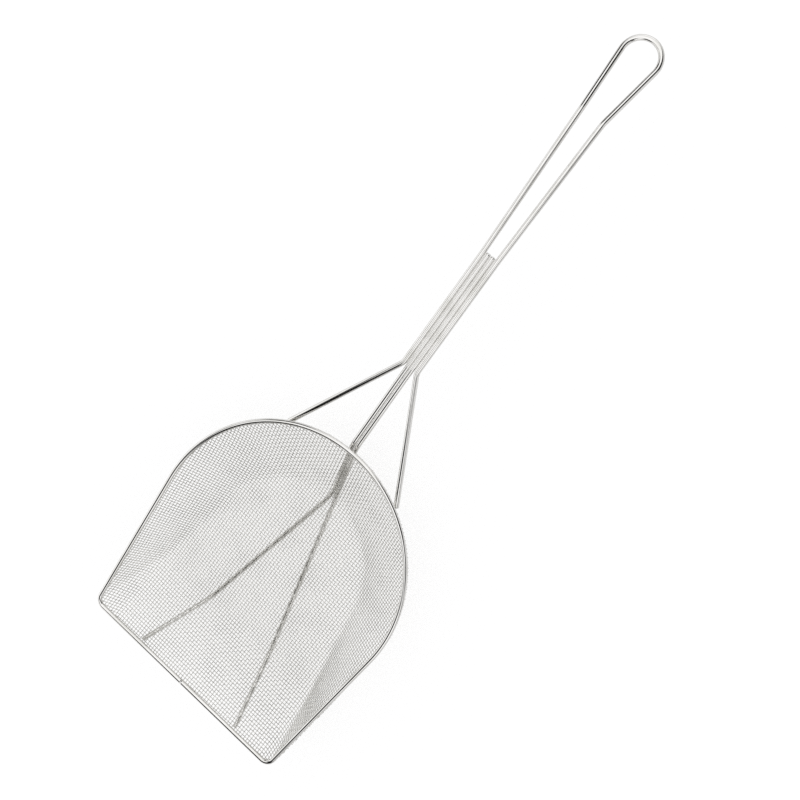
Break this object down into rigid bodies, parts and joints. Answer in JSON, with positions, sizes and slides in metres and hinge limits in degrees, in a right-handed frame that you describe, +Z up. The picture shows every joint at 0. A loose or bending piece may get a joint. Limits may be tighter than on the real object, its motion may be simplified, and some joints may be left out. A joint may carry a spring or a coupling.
{
  "type": "strainer spoon",
  "caption": "Shovel-shaped wire mesh strainer with a flat front lip, a wire rim and a long welded wire handle ending in a hanging loop, for lifting food out of hot oil.",
  "frame": {"origin": "middle of the bounding box seen from above, on the surface that the support wires rest on", "axes": "+Y from the front lip to the hanging loop, +Z up out of the open bowl, +X to the right seen from above with the loop at the top"},
  "size_m": [0.2034, 0.5702, 0.0627],
  "materials": {
    "wire": "bright polished stainless steel wire",
    "cloth": "plain woven stainless steel wire cloth, bright"
  },
  "bodies": {
    "root": {"rim_wire": "wire", "mesh_basket": "cloth", "handle_wire": "wire", "support_wire_right": "wire", "support_wire_left": "wire"}
  },
  "joints": []
}
